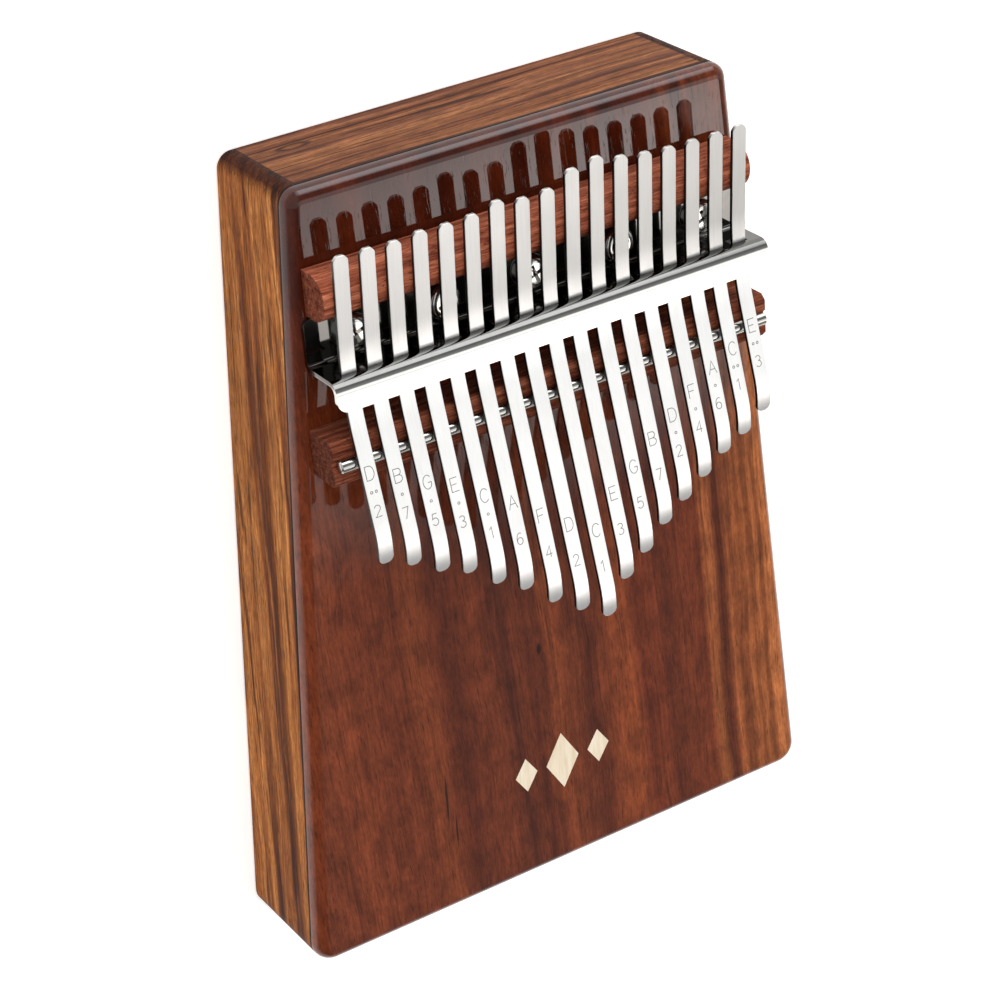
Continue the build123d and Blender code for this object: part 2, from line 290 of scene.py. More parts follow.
def soundboard_material():
    """Dark reddish walnut under clear gloss lacquer."""
    made, s = material("lacquered_walnut_front")
    x, y, z = s.point()
    lean = s.math("MULTIPLY_ADD", y, SOUNDBOARD_LEAN, x)
    wander = s.noise(s.stretched(s.vector(x, y, z), (34.0, 11.0, 34.0)), 3.0, 0.55)
    u = s.math("MULTIPLY_ADD", wander, SOUNDBOARD_WANDER, lean)
    u = s.math("SUBTRACT", u, SOUNDBOARD_WANDER / 2)
    g = grain_layers(s, u, y, z, 3.1)
    position = s.spread(u, -SOUNDBOARD_HALF_SPAN, SOUNDBOARD_HALF_SPAN, 0.0, 1.0)
    span = 2 * SOUNDBOARD_HALF_SPAN / MM
    stops = [(0.5 + place / span, srgb(*tone)) for place, tone in SOUNDBOARD_TONES]
    tone = s.ramp(position, stops)
    tone = shaded(s, tone, 1.0, g["bands"], (0.88, 0.86, 0.85), (1.10, 1.10, 1.08))
    tone = shaded(s, tone, 1.0, g["streaks"], (0.88, 0.85, 0.84), (1.10, 1.10, 1.09))
    tone = shaded(s, tone, 1.0, g["lines"], (0.93, 0.91, 0.90), (1.06, 1.06, 1.05))
    tone = shaded(s, tone, 1.0, g["mottle"], (0.74, 0.73, 0.74), (1.24, 1.25, 1.24))
    tone = shaded(s, tone, 1.0, g["speckle"], (0.86, 0.85, 0.84), (1.14, 1.15, 1.16))
    tone = shaded(s, tone, 1.0, g["fibres"], (0.84, 0.82, 0.80), (1.14, 1.15, 1.16))
    sapwood = s.spread(u, SAPWOOD_FROM, SAPWOOD_FROM + SAPWOOD_FADE, 0.0, 0.9)
    tone = shaded(s, tone, sapwood, g["streaks"], (0.62, 0.56, 0.52), (1.22, 1.22, 1.20))
    # Painted shade: darker towards the head, under the tines and the bracket
    footward = s.spread(y, HEAD_SHADE_FROM, HEAD_SHADE_TO, 1.0, 0.0)
    tone = shaded(s, tone, 1.0, footward, (0.36, 0.26, 0.22), (1.06, 1.16, 1.26))
    tone = s.blend("MIX", s.math("MULTIPLY", g["veins"], 0.28), tone, srgb(50, 21, 12))
    tone = s.blend("MIX", s.math("MULTIPLY", g["vessels"], 0.30), tone, srgb(44, 18, 10))
    tone = s.blend("MIX", s.math("MULTIPLY", g["pores"], 0.45), tone, srgb(36, 15, 9))
    for centre, half_size in SOUNDBOARD_FLECKS:
        spot = fleck(s, s.math("MULTIPLY_ADD", wander, FLECK_WANDER, x), y, centre, half_size, 0.75)
        tone = s.blend("MIX", s.math("MULTIPLY", spot, 0.85), tone, srgb(30, 14, 10))
    ripple = s.noise(s.stretched(s.vector(x, y, z), (70.0, 40.0, 70.0)), 2.0, 0.5)
    s.surface(
        Base_Color=tone,
        Roughness=s.spread(g["streaks"], 0.0, 1.0, 0.42, 0.56),
        Specular_IOR_Level=0.0,
        Normal=s.bump(g["fibres"], 0.00003, 0.5),
        Coat_Weight=1.0,
        Coat_IOR=1.5,
        Coat_Roughness=0.042,
        Coat_Normal=s.bump(s.math("MULTIPLY_ADD", g["pores"], -0.10, ripple), 0.00012, 0.35),
    )
    return made


# How far a plank's grain and a knot wander, and a knot's clear middle as a share of its size
PLANK_WANDER = 10 * MM
KNOT_WANDER = 4 * MM
KNOT_CORE = 0.62
# How wide the dark line at the ends is, partly glue and partly painted shade in the joint, and how much
# of that it fades in over
GLUE_SHADE_LINE = 0.75 * MM
GLUE_SHADE_FADE = 0.25 * MM
# How far under the soundboard its dark line fades in, and from where up it's full dark: partly the joint,
# partly painted shade under the soundboard's rounded edge
SEAM_SHADE_FROM = 0.85 * MM
SEAM_SHADE_FULL = 0.45 * MM


def plank_material(name, axis, tones, seed, gloss=0.03, veins=0.7, glue_shade_from=None, knots=()):
    """Satin solid wood, with a dark line where it meets the soundboard: partly the joint, partly painted
    shade.
    axis is the letter of the direction that the grain runs in, veins is how dark its veins
    are, glue_shade_from is how far out along the grain the dark line at each end starts, partly glue
    and partly painted shade in the joint, and knots holds middles and half sizes, along and up."""
    made, s = material(name)
    x, y, z = s.point()
    u, along, v = {"X": (y, x, z), "Y": (x, y, z)}[axis]
    shift = (seed, seed, seed)
    wander = s.noise(s.stretched(s.vector(u, along, v), (26.0, 9.0, 26.0), shift), 3.0, 0.55)
    across = s.math("MULTIPLY_ADD", v, 0.9, u)
    across = s.math("MULTIPLY_ADD", wander, PLANK_WANDER, across)
    g = grain_layers(s, across, along, v, seed)
    ring_place = s.stretched(s.vector(across, along, u), (230.0, 3.0, 40.0), (seed, 0, 0))
    rings = s.noise(ring_place, 2.0, 0.6, 0.5, 0.32, 0.68)
    tone = s.ramp(rings, tones)
    tone = shaded(s, tone, 1.0, g["streaks"], (0.74, 0.69, 0.64), (1.14, 1.15, 1.15))
    tone = shaded(s, tone, 1.0, g["lines"], (0.74, 0.69, 0.64), (1.16, 1.18, 1.20))
    tone = shaded(s, tone, 1.0, g["mottle"], (0.86, 0.83, 0.80), (1.13, 1.14, 1.15))
    tone = shaded(s, tone, 1.0, g["speckle"], (0.84, 0.80, 0.76), (1.14, 1.15, 1.16))
    tone = shaded(s, tone, 1.0, g["fibres"], (0.72, 0.68, 0.64), (1.22, 1.24, 1.26))
    tone = shaded(s, tone, 1.0, g["bands"], (0.80, 0.76, 0.73), (1.10, 1.11, 1.12))
    tone = s.blend("MIX", s.math("MULTIPLY", g["veins"], veins), tone, srgb(50, 22, 11))
    for centre, half_size in knots:
        bent = s.math("MULTIPLY_ADD", wander, KNOT_WANDER, v)
        outer = fleck(s, along, bent, centre, half_size, 0.45)
        inner = fleck(s, along, bent, centre, [KNOT_CORE * half for half in half_size], 0.8)
        ring = s.math("SUBTRACT", outer, inner)
        tone = s.blend("MIX", s.math("MULTIPLY", ring, 0.8), tone, srgb(44, 20, 11))
    tone = s.blend("MIX", s.math("MULTIPLY", g["vessels"], 0.66), tone, srgb(52, 25, 11))
    tone = s.blend("MIX", s.math("MULTIPLY", g["pores"], 0.72), tone, srgb(40, 20, 10))
    end_grain = s.facing(axis, 0.10, 0.75)
    tone = shaded(s, tone, end_grain, 1.0, (1.0, 1.0, 1.0), (0.14, 0.085, 0.05))
    # A dark line at each end: partly glue in the joint, partly painted shade in the groove between the
    # boards
    if glue_shade_from is not None:
        reach = s.math("ABSOLUTE", along)
        glue_shade = s.spread(reach, glue_shade_from, glue_shade_from + GLUE_SHADE_FADE, 0.0, 0.85)
        tone = s.blend("MIX", glue_shade, tone, srgb(36, 17, 9))
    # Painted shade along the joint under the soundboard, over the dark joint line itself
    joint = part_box("soundboard")[0].z
    seam_shade = s.spread(z, joint - SEAM_SHADE_FROM, joint - SEAM_SHADE_FULL, 0.0, 0.95)
    tone = s.blend("MIX", seam_shade, tone, srgb(18, 8, 6))
    height = s.math("MULTIPLY_ADD", g["pores"], -1.0, g["fibres"])
    s.surface(
        Base_Color=tone,
        Roughness=s.spread(g["streaks"], 0.0, 1.0, 0.62, 0.48),
        Specular_IOR_Level=0.05,
        Normal=s.bump(height, 0.00005, 0.45),
        Coat_Weight=gloss,
        Coat_Roughness=0.28,
    )
    return made


def sawn_material(name, seed, level=1.0):
    """Raw reddish wood with the grain along X, left rough. level is how light it is."""
    made, s = material(name)
    x, y, z = s.point()
    place = s.vector(y, x, z)
    shift = (seed, seed, seed)
    rings = s.noise(s.stretched(place, (820.0, 20.0, 820.0), shift), 3.0, 0.6, 0.15, 0.33, 0.67)
    fibres = s.noise(s.stretched(place, (3300.0, 260.0, 3300.0), shift), 3.0, 0.65, 0.0, 0.32, 0.68)
    pits = s.noise(s.stretched(place, (2100.0, 420.0, 2100.0), shift), 2.0, 0.6, 0.0, 0.60, 0.68)
    tones = [
        (0.0, (110, 54, 39)),
        (0.35, (141, 76, 55)),
        (0.65, (159, 90, 66)),
        (1.0, (187, 113, 85)),
    ]
    stops = [(position, srgb(*(level * part for part in tone))) for position, tone in tones]
    tone = s.ramp(rings, stops)
    tone = shaded(s, tone, 1.0, fibres, (0.50, 0.45, 0.43), (1.34, 1.34, 1.32))
    tone = s.blend("MIX", s.math("MULTIPLY", pits, 0.6), tone, srgb(51, 19, 12))
    end_grain = s.facing("X", 0.5, 0.9)
    tone = shaded(s, tone, end_grain, 1.0, (1.0, 1.0, 1.0), (0.50, 0.47, 0.46))
    height = s.math("MULTIPLY_ADD", pits, -0.8, fibres)
    s.surface(
        Base_Color=tone,
        Roughness=0.8,
        Specular_IOR_Level=0.08,
        Normal=s.bump(height, 0.00012, 0.7),
    )
    return made


def inlay_material():
    """Pale fine-grained wood with a gloss like the soundboard's."""
    made, s = material("pale_inlay_bone")
    x, y, z = s.point()
    grain = s.noise(s.stretched(s.vector(x, y, z), (900.0, 90.0, 900.0)), 3.0, 0.6)
    stops = [(0.3, srgb(232, 212, 180)), (0.6, srgb(250, 236, 212)), (0.8, srgb(255, 246, 230))]
    tone = s.ramp(grain, stops)
    s.surface(
        Base_Color=tone,
        Roughness=0.4,
        Coat_Weight=1.0,
        Coat_Roughness=0.035,
        Normal=s.bump(grain, 0.00002, 0.3),
    )
    return made


# ---------------------------------------------------------------------------
# Metal
# ---------------------------------------------------------------------------

# The painted shade on the tails: where along them it starts and fades in, and how far across it grows
TAIL_SHADE_FROM = 50 * MM
TAIL_SHADE_SPREAD = 4 * MM
TAIL_SHADE_HALF_SPAN = 50 * MM


def tine_material():
    """Spring steel with a fine brushing along its length, with painted shade on the right-hand tails and
    a painted dark reflection on the strips' sides.
    """
    made, s = material("brushed_spring_steel")
    x, y, z = s.point()
    place = s.vector(x, y, z)
    brushing = s.noise(s.stretched(place, (5200.0, 60.0, 900.0)), 3.0, 0.6)
    smear = s.noise(s.stretched(place, (160.0, 70.0, 160.0)), 3.0, 0.55)
    tone = s.ramp(brushing, [(0.3, srgb(242, 242, 240)), (0.7, srgb(250, 250, 248))])
    # Painted shade on the tails, darker towards the right
    tail = s.spread(y, TAIL_SHADE_FROM, TAIL_SHADE_FROM + TAIL_SHADE_SPREAD, 0.0, 1.0)
    rightward = s.spread(x, -TAIL_SHADE_HALF_SPAN, TAIL_SHADE_HALF_SPAN, 0.0, 1.0)
    tail = s.math("MULTIPLY", tail, rightward)
    tone = shaded(s, tone, tail, 1.0, (1.0, 1.0, 1.0), (0.70, 0.70, 0.69))
    # Painted dark reflection on the strips' sides, which face left and right
    tone = s.blend("MIX", s.facing("X", 0.55, 0.9), tone, srgb(70, 68, 66))
    s.surface(
        Base_Color=tone,
        Metallic=1.0,
        Roughness=s.spread(smear, 0.3, 0.7, 0.31, 0.37),
        Normal=s.bump(brushing, 0.000003, 0.25),
    )
    return made


def mark_material():
    """The hairline note marks."""
    made, s = material("engraved_mark")
    x, y, z = s.point()
    grit = s.noise(s.stretched(s.vector(x, y, z), (4000.0, 4000.0, 4000.0)), 2.0, 0.5)
    tone = s.ramp(grit, [(0.3, srgb(92, 92, 92)), (0.7, srgb(126, 126, 126))])
    s.surface(Base_Color=tone, Metallic=0.2, Roughness=0.7)
    return made


def plated_material(name, roughness, ripple_strength, shade_from=None, shade=0.0, level=232):
    """Bright plate over slightly uneven metal. level is how light it is, and headwards of
    shade_from painted shade darkens it by the share shade."""
    made, s = material(name)
    x, y, z = s.point()
    place = s.vector(x, y, z)
    ripple = s.noise(s.stretched(place, (130.0, 210.0, 210.0)), 2.0, 0.45)
    wear = s.noise(s.stretched(place, (900.0, 900.0, 900.0)), 3.0, 0.6)
    worn = srgb(level - 10, level - 11, level - 15)
    tone = s.ramp(wear, [(0.3, worn), (0.7, srgb(level, level - 1, level - 5))])
    if shade_from is not None:
        # Painted shade under the tails and the nut
        painted_shade = s.spread(y, shade_from, shade_from + MM, 0.0, shade)
        tone = s.blend("MIX", painted_shade, tone, srgb(30, 27, 25))
    s.surface(
        Base_Color=tone,
        Metallic=1.0,
        Roughness=s.spread(wear, 0.35, 0.7, roughness, roughness * 1.7),
        Normal=s.bump(ripple, 0.00010, ripple_strength),
    )
    return made


# ---------------------------------------------------------------------------
# The tines: one continuous strip each, from the tail end to the tip
# ---------------------------------------------------------------------------

TINE_THICKNESS = 0.9 * MM
TINE_EDGE = 0.16 * MM
TONGUE_SLOPE = math.radians(15)
TAIL_SLOPE = math.radians(4)
# Headwards of the rod: a short straight stretch, then the bend that the bracket presses in
PRESS_START = 6 * MM
PRESS_RADIUS = 60 * MM
TIP_RADIUS = 20 * MM
TIP_TURN = math.radians(24)
# A distance each way from the saddle rod along a tine; the points placed there are not used
BLEND_REACH = 2.5 * MM
BODY_STEP = 1.6 * MM
TIP_CORNER = 1.55 * MM
TIP_CORNER_STEPS = 9
# A tail's end, as (distance from the end, half width) in millimetres for a full half width
# of the last number
TAIL_END_SHAPE = [
    (0.0, 0.6), (0.05, 0.82), (0.2, 1.04), (0.52, 1.32), (0.84, 1.6), (1.06, 1.73), (1.4, 1.8),
]


class TinePath:
    """Where a tine's middle runs, by distance from the saddle rod: positive towards the tip."""

    def __init__(self, pivot, tail_end_y, tip_y):
        self.pivot_y = pivot.y
        self.pivot_z = pivot.z
        self.press_length = PRESS_RADIUS * (TONGUE_SLOPE + TAIL_SLOPE)
        half = TINE_THICKNESS / 2
        press_y = pivot.y + PRESS_START * math.cos(TONGUE_SLOPE)
        press_y += PRESS_RADIUS * (math.sin(TONGUE_SLOPE) + math.sin(TAIL_SLOPE))
        straight = (tail_end_y - half * math.sin(TAIL_SLOPE) - press_y) / math.cos(TAIL_SLOPE)
        self.tail_length = PRESS_START + self.press_length + straight
        end_slope = TIP_TURN - TONGUE_SLOPE
        drop_y = TIP_RADIUS * (math.sin(TONGUE_SLOPE) + math.sin(end_slope))
        flat_end = tip_y + half * math.sin(end_slope)
        self.flat_length = (pivot.y - flat_end - drop_y) / math.cos(TONGUE_SLOPE)
        self.tip_length = self.flat_length + TIP_RADIUS * TIP_TURN

    def at(self, run):
        """The point on the middle line at a distance along it, (y, z), and the slope there."""
        if run >= 0:
            flat = min(run, self.flat_length)
            y = self.pivot_y - flat * math.cos(TONGUE_SLOPE)
            z = self.pivot_z + flat * math.sin(TONGUE_SLOPE)
            slope = TONGUE_SLOPE - (run - flat) / TIP_RADIUS
            y -= TIP_RADIUS * (math.sin(TONGUE_SLOPE) - math.sin(slope))
            z += TIP_RADIUS * (math.cos(slope) - math.cos(TONGUE_SLOPE))
            return y, z, slope
        dip = min(-run, PRESS_START)
        bent = min(-run - dip, self.press_length)
        slope = TONGUE_SLOPE - bent / PRESS_RADIUS
        y = self.pivot_y + dip * math.cos(TONGUE_SLOPE)
        z = self.pivot_z - dip * math.sin(TONGUE_SLOPE)
        y += PRESS_RADIUS * (math.sin(TONGUE_SLOPE) - math.sin(slope))
        z -= PRESS_RADIUS * (math.cos(slope) - math.cos(TONGUE_SLOPE))
        straight = -run - dip - bent
        return y + straight * math.cos(slope), z - straight * math.sin(slope), slope

    def place(self, run, side, height):
        """A point of the strip: distance along, distance to the right, height over the middle."""
        y, z, slope = self.at(run)
        return Vector((side, y + height * math.sin(slope), z + height * math.cos(slope)))

    def direction(self, run, along, side, up):
        """A direction in the strip's own axes, turned into the row frame."""
        slope = self.at(run)[2]
        y = -along * math.cos(slope) + up * math.sin(slope)
        z = along * math.sin(slope) + up * math.cos(slope)
        return Vector((side, y, z)).normalized()


def strip_rows(path, half_width):
    """The strip's outline as rows of (distance along, half width), tail end first."""
    rows = []
    widest = TAIL_END_SHAPE[-1][1]
    for depth, width in TAIL_END_SHAPE:
        rows.append((-path.tail_length + depth * MM, half_width * width / widest))
    first = rows[-1][0]
    last = path.tip_length - TIP_CORNER
    count = max(2, round((last - first) / BODY_STEP))
    for i in range(1, count):
        rows.append((first + (last - first) * i / count, half_width))
    for i in range(TIP_CORNER_STEPS + 1):
        angle = math.pi / 2 * i / TIP_CORNER_STEPS
        inset = TIP_CORNER * (1 - math.cos(angle))
        rows.append((last + TIP_CORNER * math.sin(angle), half_width - inset))
    return rows


def heading(start, end):
    """The direction from one (along, side) point to another."""
    return Vector((end[0] - start[0], end[1] - start[1])).normalized()


def row_normals(rows):
    """The outward direction of the right-hand outline at each row, as (along, side)."""
    points = [(rows[0][0], 0.0), *rows, (rows[-1][0], 0.0)]
    found = []
    for i in range(1, len(points) - 1):
        before = heading(points[i - 1], points[i])
        after = heading(points[i], points[i + 1])
        normal = Vector((-before.y, before.x)) + Vector((-after.y, after.x))
        found.append(normal.normalized())
    return found


# Each ring of the cross-section: how far in from the outline and down from the face, as a
# share of the rounded edge, and how far its normal leans outwards (0 up, 1 sideways)
EDGE_RINGS = [(1.0, 0.0, 0.0), (0.293, 0.293, 0.5), (0.0, 1.0, 1.0)]


def strip_mesh(path, centre_x, half_width):
    """Vertices, faces and normals of a strip with rounded edges."""
    rows = strip_rows(path, half_width)
    normals = row_normals(rows)
    count = len(rows)
    loop = [(i, 1) for i in range(count)] + [(i, -1) for i in reversed(range(count))]
    verts, faces, vertex_normals = [], [], []
    rings = [(inset, drop, lean, 1) for inset, drop, lean in EDGE_RINGS]
    rings += [(inset, drop, lean, -1) for inset, drop, lean in reversed(EDGE_RINGS)]
    for inset, drop, lean, face in rings:
        height = face * (TINE_THICKNESS / 2 - drop * TINE_EDGE)
        tilt = lean * math.pi / 2
        for i, side in loop:
            along_n, side_n = normals[i]
            run = rows[i][0] - along_n * inset * TINE_EDGE
            x = side * (rows[i][1] - side_n * inset * TINE_EDGE)
            verts.append(path.place(run, centre_x + x, height))
            out = math.sin(tilt)
            up = face * math.cos(tilt)
            vertex_normals.append(path.direction(run, along_n * out, side * side_n * out, up))
    ring = len(loop)
    for r in range(len(rings) - 1):
        for i in range(ring):
            j = (i + 1) % ring
            faces.append((r * ring + i, (r + 1) * ring + i, (r + 1) * ring + j, r * ring + j))
    bottom = (len(rings) - 1) * ring
    for i in range(count - 1):
        right_a, right_b = i, i + 1
        left_a, left_b = ring - 1 - i, ring - 2 - i
        faces.append((right_a, right_b, left_b, left_a))
        faces.append((bottom + right_a, bottom + left_a, bottom + left_b, bottom + right_b))
    return verts, faces, vertex_normals


# ---------------------------------------------------------------------------
# The note marks: a letter, its octave dots and a number on each tongue
# ---------------------------------------------------------------------------

# Degrees turned by each step along a round stretch of a sign
BOW_STEP = 20


def bow(centre, radii, start, end):
    """Points along an arc of an ellipse, between two angles in degrees from the right."""
    steps = round(abs(end - start) / BOW_STEP)
    points = []
    for i in range(steps + 1):
        turn = math.radians(start + (end - start) * i / steps)
        points.append((centre[0] + radii[0] * math.cos(turn), centre[1] + radii[1] * math.sin(turn)))
    return points


# Each sign is drawn in a box 0 to 1 high, with strokes of (right, up) points
GLYPHS = {
    "A": [[(0.0, 0.0), (0.34, 1.0), (0.68, 0.0)], [(0.13, 0.36), (0.55, 0.36)]],
    "B": [
        [(0.0, 0.0), (0.0, 1.0), *bow((0.33, 0.765), (0.23, 0.235), 90, -90), (0.0, 0.53)],
        [*bow((0.33, 0.265), (0.28, 0.265), 90, -90), (0.0, 0.0)],
    ],
    "C": [bow((0.34, 0.5), (0.34, 0.5), 40, 320)],
    "D": [[(0.0, 0.0), (0.0, 1.0), *bow((0.3, 0.5), (0.35, 0.5), 90, -90), (0.0, 0.0)]],
    "E": [[(0.56, 1.0), (0.0, 1.0), (0.0, 0.0), (0.58, 0.0)], [(0.0, 0.52), (0.46, 0.52)]],
    "F": [[(0.56, 1.0), (0.0, 1.0), (0.0, 0.0)], [(0.0, 0.52), (0.46, 0.52)]],
    "G": [[*bow((0.34, 0.5), (0.34, 0.5), 40, 325), (0.65, 0.45), (0.38, 0.45)]],
    "1": [[(0.1, 0.78), (0.32, 1.0), (0.32, 0.0)]],
    "2": [[*bow((0.28, 0.73), (0.27, 0.27), 165, -30), (0.0, 0.0), (0.58, 0.0)]],
    "3": [bow((0.27, 0.77), (0.25, 0.23), 150, -90), bow((0.27, 0.27), (0.29, 0.27), 90, -150)],
    "4": [[(0.44, 0.0), (0.44, 1.0), (0.0, 0.28), (0.6, 0.28)]],
    "5": [[(0.52, 1.0), (0.1, 1.0), (0.05, 0.55), *bow((0.27, 0.32), (0.29, 0.32), 120, -150)]],
    "6": [[*bow((0.34, 0.5), (0.32, 0.5), 60, 180), *bow((0.29, 0.3), (0.27, 0.3), 180, 540)]],
    "7": [[(0.0, 1.0), (0.56, 1.0), (0.2, 0.0)]],
}
GLYPH_WIDTH = 0.62
# Letter, number and octave dots of each tongue, left to right
NOTES = [
    ("D", "2", 2), ("B", "7", 1), ("G", "5", 1), ("E", "3", 1), ("C", "1", 1), ("A", "6", 0),
    ("F", "4", 0), ("D", "2", 0), ("C", "1", 0), ("E", "3", 0), ("G", "5", 0), ("B", "7", 0),
    ("D", "2", 1), ("F", "4", 1), ("A", "6", 1), ("C", "1", 2), ("E", "3", 2),
]
NUMBER_FROM_TIP = 11.8 * MM
LETTER_FROM_TIP = 20.0 * MM
DOTS_FROM_TIP = 15.9 * MM
LETTER_HEIGHT = 3.0 * MM
NUMBER_HEIGHT = 2.5 * MM
DOT_RADIUS = 0.26 * MM
DOT_SPACING = 1.1 * MM
DOT_SIDES = 12
STROKE_HALF = 0.08 * MM
STROKE_RISE = 0.008 * MM
STROKE_SINK = 0.02 * MM
# How far a stroke's normals lean to its sides. A sharp corner is widened by at most 1 over
# the limit.
STROKE_LEAN = 0.2
CORNER_LIMIT = 0.5


def mark_strokes(note, path):
    """The strokes of one tongue's marks, as lines of (distance along, distance to the right)."""
    letter, number, dots = note
    strokes = []
    signs = (
        (letter, LETTER_FROM_TIP, LETTER_HEIGHT),
        (number, NUMBER_FROM_TIP, NUMBER_HEIGHT),
    )
    for sign, from_tip, height in signs:
        middle = path.tip_length - from_tip
        for line in GLYPHS[sign]:
            strokes.append(
                [(middle - (up - 0.5) * height, (right - GLYPH_WIDTH / 2) * height) for right, up in line]
            )
    for i in range(dots):
        middle = path.tip_length - DOTS_FROM_TIP
        side = (i - (dots - 1) / 2) * DOT_SPACING
        ring = []
        for k in range(DOT_SIDES + 1):
            turn = 2 * math.pi * k / DOT_SIDES
            ring.append((middle + DOT_RADIUS * math.cos(turn), side + DOT_RADIUS * math.sin(turn)))
        strokes.append(ring)
    return strokes


def stroke_mesh(path, centre_x, line, verts, faces, vertex_normals):
    """Adds one shallow closed stroke that follows the tongue's face."""
    points = [Vector(p) for p in line]
    closed = (points[0] - points[-1]).length < STROKE_HALF / 2
    if closed:
        points = points[:-1]
    count = len(points)
    base = len(verts)
    top = TINE_THICKNESS / 2 + STROKE_RISE
    bottom = TINE_THICKNESS / 2 - STROKE_SINK
    for i, p in enumerate(points):
        before = points[i - 1] if i or closed else None
        after = points[(i + 1) % count] if i < count - 1 or closed else None
        into = (p - before).normalized() if before is not None else (after - p).normalized()
        out = (after - p).normalized() if after is not None else into
        across = Vector((-into.y, into.x)) + Vector((-out.y, out.x))
        across.normalize()
        widen = 1 / max(CORNER_LIMIT, across.dot(Vector((-into.y, into.x))))
        for side in (1, -1):
            q = p + across * side * STROKE_HALF * widen
            for height, up in ((top, 1), (bottom, -1)):
                lean = side * STROKE_LEAN
                verts.append(path.place(q.x, centre_x + q.y, height))
                vertex_normals.append(path.direction(q.x, across.x * lean, across.y * lean, up))
    steps = count if closed else count - 1
    for i in range(steps):
        a = base + 4 * i
        b = base + 4 * ((i + 1) % count)
        faces.append((a, b, b + 2, a + 2))
        faces.append((a + 1, a + 3, b + 3, b + 1))
        faces.append((a, a + 1, b + 1, b))
        faces.append((a + 2, b + 2, b + 3, a + 3))
    if not closed:
        end = base + 4 * (count - 1)
        faces.append((base, base + 2, base + 3, base + 1))
        faces.append((end, end + 1, end + 3, end + 2))


def faced_outwards(verts, faces, vertex_normals):
    """The faces, each turned so that it faces the way its corners' normals do."""
    turned = []
    for face in faces:
        a, b, c = (verts[i] for i in face[:3])
        outwards = sum((vertex_normals[i] for i in face), Vector())
        turned.append(face if (b - a).cross(c - b).dot(outwards) > 0 else tuple(reversed(face)))
    return turned


def build_tines(steel, mark):
    """One strip for each hinge joint, in place of the tail and the tongue that it joins."""
    for joint in frame["joints"]:
        if joint["type"] != "hinge":
            continue
        tail, tongue = joint["parent"], joint["child"]
        number = int(tongue.split("_")[1])
        pivot = Vector(joint["pos_m"])
        tail_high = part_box(tail)[1]
        tongue_low, tongue_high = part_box(tongue)
        path = TinePath(pivot, tail_high.y, tongue_low.y)
        half_width = (tongue_high.x - tongue_low.x) / 2
        verts, faces, vertex_normals = strip_mesh(path, pivot.x, half_width)
        steel_faces = len(faces)
        for line in mark_strokes(NOTES[number - 1], path):
            stroke_mesh(path, pivot.x, line, verts, faces, vertex_normals)
        mesh = bpy.data.meshes.new(f"tine_{number:02d}_strip")
        mesh.from_pydata(verts, [], faced_outwards(verts, faces, vertex_normals))
        mesh.materials.append(steel)
        mesh.materials.append(mark)
        for polygon in mesh.polygons:
            polygon.use_smooth = True
            polygon.material_index = int(polygon.index >= steel_faces)
        mesh.normals_split_custom_set_from_vertices(vertex_normals)
        mesh.update()
        strip = bpy.data.objects.new(f"tine_{number:02d}_strip", mesh)
        bpy.context.scene.collection.objects.link(strip)
        start = path.place(-BLEND_REACH, pivot.x, 0.0)
        end = path.place(BLEND_REACH, pivot.x, 0.0)
        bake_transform(strip)
        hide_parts(tail, tongue)


# ---------------------------------------------------------------------------
# The pieces shown as modelled: finishes, and the small rounding on their edges
# ---------------------------------------------------------------------------

GOLDEN_WOOD = [
    (0.0, srgb(78, 36, 12)),
    (0.25, srgb(132, 74, 30)),
    (0.5, srgb(168, 102, 46)),
    (0.75, srgb(192, 128, 66)),
    (1.0, srgb(112, 58, 22)),
]
ROSY_WOOD = [
    (0.0, srgb(60, 27, 16)),
    (0.25, srgb(108, 62, 38)),
    (0.5, srgb(139, 88, 55)),
    (0.75, srgb(160, 107, 69)),
    (1.0, srgb(80, 41, 24)),
]
INNER_WOOD = [
    (0.0, srgb(150, 108, 64)),
    (0.5, srgb(182, 138, 88)),
    (1.0, srgb(200, 158, 106)),
]
# The small knot on the head end: middle and half size along and up, in metres
HEAD_KNOT = ((-0.0405, 0.0095), (0.0048, 0.0017))
# Painted shade darkens the bracket and its screws round the screws, under the tails and the nut, from
# this far footwards of them
FLANGE_SHADE_MARGIN = 3 * MM
EDGE_ROUNDING = 0.22 * MM
SHARP_EDGE = math.radians(40)
ROUNDED = ("left_side", "right_side", "top_end", "bottom_end", "back_board", "nut", "bridge_block")


def head_material():
    end_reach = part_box("top_end")[1].x - GLUE_SHADE_LINE
    return plank_material(
        "satin_walnut_head", "X", ROSY_WOOD, 2.2, veins=0.9, glue_shade_from=end_reach, knots=[HEAD_KNOT]
    )


def soften(node):
    """Rounds a piece's sharp edges a little, as sanding leaves them."""
    bevel = frame["nodes"][node].modifiers.new("edge_rounding", "BEVEL")
    bevel.width = EDGE_ROUNDING
    bevel.segments = 2
    bevel.limit_method = "ANGLE"
    bevel.angle_limit = SHARP_EDGE
    bevel.harden_normals = True


